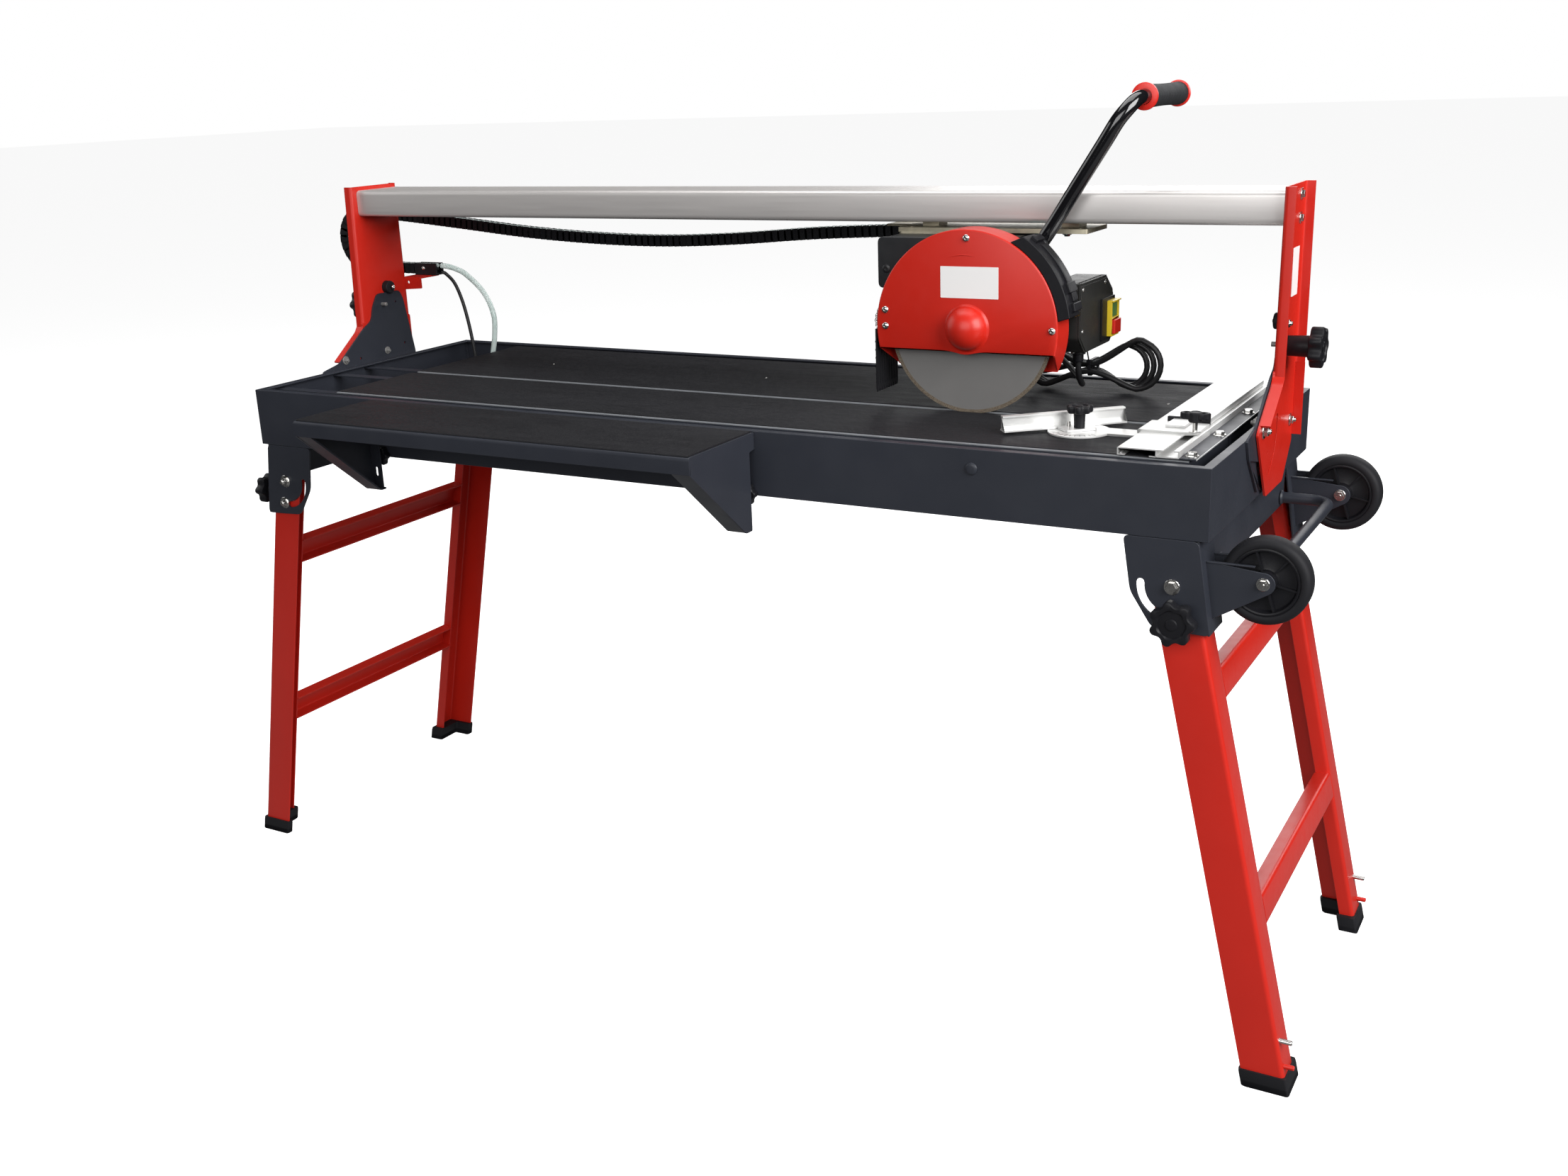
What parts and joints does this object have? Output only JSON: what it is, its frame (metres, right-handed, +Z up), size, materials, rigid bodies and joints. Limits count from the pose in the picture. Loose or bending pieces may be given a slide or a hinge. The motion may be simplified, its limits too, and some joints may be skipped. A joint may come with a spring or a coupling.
{
  "type": "bridge wet tile saw",
  "caption": "Wet tile saw with a water tray table, tilting bridge beam, sliding motor head with guarded blade, side table, angle fence, folding legs and transport wheels",
  "frame": {"origin": "middle of the footprint box on the floor, with the parked saw head's mains lead left out", "axes": "+X along the tray and beam towards the end with the transport wheels, +Y away from the operator, from the side table towards the back, +Z up"},
  "size_m": [1.8064, 0.662, 1.191],
  "materials": {
    "red_coat": "satin red powder coat",
    "grey_coat": "satin anthracite powder coat",
    "black_coat": "satin black paint",
    "gloss_coat": "gloss black paint",
    "teal_coat": "satin teal enamel",
    "aluminium": "satin anodised aluminium",
    "zinc": "zinc-plated steel",
    "steel": "matt ground steel",
    "rubber": "matt black rubber",
    "black_plastic": "grained black moulded plastic",
    "yellow_plastic": "yellow moulded plastic",
    "red_plastic": "red moulded plastic",
    "green_plastic": "green moulded plastic",
    "clear_hose": "clear flexible hose"
  },
  "bodies": {
    "base": {"water_tray": "grey_coat", "front_table_panel": "grey_coat", "rear_table_panel": "grey_coat", "front_table_mat": "rubber", "rear_table_mat": "rubber", "left_pivot_plate": "grey_coat", "right_pivot_plate": "grey_coat", "left_leg_mount": "grey_coat", "right_leg_mount": "grey_coat", "carry_handle": "grey_coat", "water_pump": "black_plastic", "end_rail": "aluminium"},
    "bridge": {"left_column": "red_coat", "right_column": "red_coat", "beam": "aluminium", "drag_chain": "black_plastic", "water_hose": "clear_hose", "pump_cable": "rubber"},
    "carriage": {"carriage_plate": "zinc", "head_mount": "black_coat", "motor": "teal_coat", "blade_guard": "red_coat", "water_cover": "black_plastic", "splash_flap": "rubber", "switch_box": "black_plastic", "switch_plate": "yellow_plastic", "lead_gland": "black_plastic", "handle_tube": "gloss_coat", "grip_sleeve": "red_plastic", "grip_cover": "rubber", "mains_lead": "rubber", "lead_hank": "rubber", "lead_plug": "rubber"},
    "blade_spindle": {"blade": "steel", "arbor": "steel"},
    "left_roller": {"left_roller_axle": "steel"},
    "right_roller": {"right_roller_axle": "steel"},
    "start_button": {"start_button": "green_plastic"},
    "stop_button": {"stop_button": "red_plastic"},
    "left_legs": {"left_leg_frame": "red_coat", "left_front_foot": "rubber", "left_rear_foot": "rubber"},
    "right_legs": {"right_leg_frame": "red_coat", "right_front_foot": "rubber", "right_rear_foot": "rubber"},
    "front_wheel": {"front_wheel": "black_plastic"},
    "rear_wheel": {"rear_wheel": "black_plastic"},
    "left_tilt_knob": {"left_tilt_knob": "black_plastic"},
    "right_tilt_knob": {"right_tilt_knob": "black_plastic"},
    "left_leg_knob": {"left_leg_knob": "black_plastic"},
    "right_leg_knob": {"right_leg_knob": "black_plastic"},
    "side_table": {"side_table": "grey_coat", "side_table_mat": "rubber"},
    "left_side_knob": {"left_side_knob": "black_plastic"},
    "right_side_knob": {"right_side_knob": "black_plastic"},
    "angle_stop": {"stop_block": "zinc", "stop_bar": "aluminium"},
    "stop_knob": {"stop_knob": "black_plastic"},
    "angle_fence": {"angle_fence": "aluminium"},
    "angle_knob": {"angle_knob": "black_plastic"}
  },
  "joints": [
    {"name": "bridge_tilt", "type": "hinge", "parent": "base", "child": "bridge", "pos_m": [0.02825, 0.035, 0.7806], "axis": [1, 0, 0], "range_deg": [0, 45], "deforming": ["water_hose", "pump_cable"]},
    {"name": "carriage_slide", "type": "slide", "parent": "bridge", "child": "carriage", "axis": [1, 0, 0], "range_m": [-0.9, 0], "deforming": ["drag_chain"]},
    {"name": "blade_spin", "type": "hinge", "parent": "carriage", "child": "blade_spindle", "pos_m": [0.39625, 0.035, 0.8926], "axis": [0, -1, 0], "continuous": true},
    {"name": "left_roller_spin", "type": "hinge", "parent": "carriage", "child": "left_roller", "pos_m": [0.29625, 0.035, 1.0377], "axis": [0, 1, 0], "range_deg": [-3600, 3600]},
    {"name": "right_roller_spin", "type": "hinge", "parent": "carriage", "child": "right_roller", "pos_m": [0.49625, 0.035, 1.0377], "axis": [0, 1, 0], "range_deg": [-3600, 3600]},
    {"name": "start_press", "type": "slide", "parent": "carriage", "child": "start_button", "axis": [-1, 0, 0], "range_m": [0, 0.003], "stiffness_N_per_m": 400},
    {"name": "stop_press", "type": "slide", "parent": "carriage", "child": "stop_button", "axis": [-1, 0, 0], "range_m": [0, 0.003], "stiffness_N_per_m": 400},
    {"name": "left_legs_fold", "type": "hinge", "parent": "base", "child": "left_legs", "pos_m": [-0.67775, 0.072, 0.637], "axis": [0, -1, 0], "range_deg": [0, 101]},
    {"name": "right_legs_fold", "type": "hinge", "parent": "base", "child": "right_legs", "pos_m": [0.73425, 0.072, 0.637], "axis": [0, 1, 0], "range_deg": [0, 101]},
    {"name": "front_wheel_spin", "type": "hinge", "parent": "base", "child": "front_wheel", "pos_m": [0.83325, -0.136, 0.647], "axis": [0, 1, 0], "continuous": true},
    {"name": "rear_wheel_spin", "type": "hinge", "parent": "base", "child": "rear_wheel", "pos_m": [0.83325, 0.294, 0.647], "axis": [0, 1, 0], "continuous": true},
    {"name": "left_tilt_knob_turn", "type": "hinge", "parent": "bridge", "child": "left_tilt_knob", "pos_m": [-0.75175, 0.122, 0.872], "axis": [-1, 0, 0], "continuous": true},
    {"name": "right_tilt_knob_turn", "type": "hinge", "parent": "bridge", "child": "right_tilt_knob", "pos_m": [0.80825, 0.122, 0.872], "axis": [1, 0, 0], "continuous": true},
    {"name": "left_leg_knob_turn", "type": "hinge", "parent": "base", "child": "left_leg_knob", "pos_m": [-0.74675, -0.143, 0.612], "axis": [-1, 0, 0], "continuous": true},
    {"name": "right_leg_knob_turn", "type": "hinge", "parent": "base", "child": "right_leg_knob", "pos_m": [0.74238, -0.183, 0.59988], "axis": [0, -1, 0], "continuous": true},
    {"name": "side_table_slide", "type": "slide", "parent": "base", "child": "side_table", "axis": [1, 0, 0], "range_m": [-0.24, 0.58]},
    {"name": "left_side_knob_turn", "type": "hinge", "parent": "side_table", "child": "left_side_knob", "pos_m": [-0.46375, -0.181, 0.697], "axis": [0, -1, 0], "continuous": true},
    {"name": "right_side_knob_turn", "type": "hinge", "parent": "side_table", "child": "right_side_knob", "pos_m": [0.17125, -0.181, 0.697], "axis": [0, -1, 0], "continuous": true},
    {"name": "stop_slide", "type": "slide", "parent": "base", "child": "angle_stop", "axis": [0, 1, 0], "range_m": [-0.045, 0.07]},
    {"name": "stop_knob_turn", "type": "hinge", "parent": "angle_stop", "child": "stop_knob", "pos_m": [0.72075, -0.052, 0.812], "axis": [0, 0, 1], "continuous": true},
    {"name": "fence_turn", "type": "hinge", "parent": "angle_stop", "child": "angle_fence", "pos_m": [0.57525, -0.045, 0.785], "axis": [0, 0, 1], "range_deg": [0, 95]},
    {"name": "angle_knob_turn", "type": "hinge", "parent": "angle_fence", "child": "angle_knob", "pos_m": [0.57525, -0.045, 0.81], "axis": [0, 0, 1], "continuous": true}
  ],
  "couplings": [
    {"joint": "left_roller_spin", "follows": "carriage_slide", "rad_per_m": 66.667},
    {"joint": "right_roller_spin", "follows": "carriage_slide", "rad_per_m": 66.667}
  ]
}
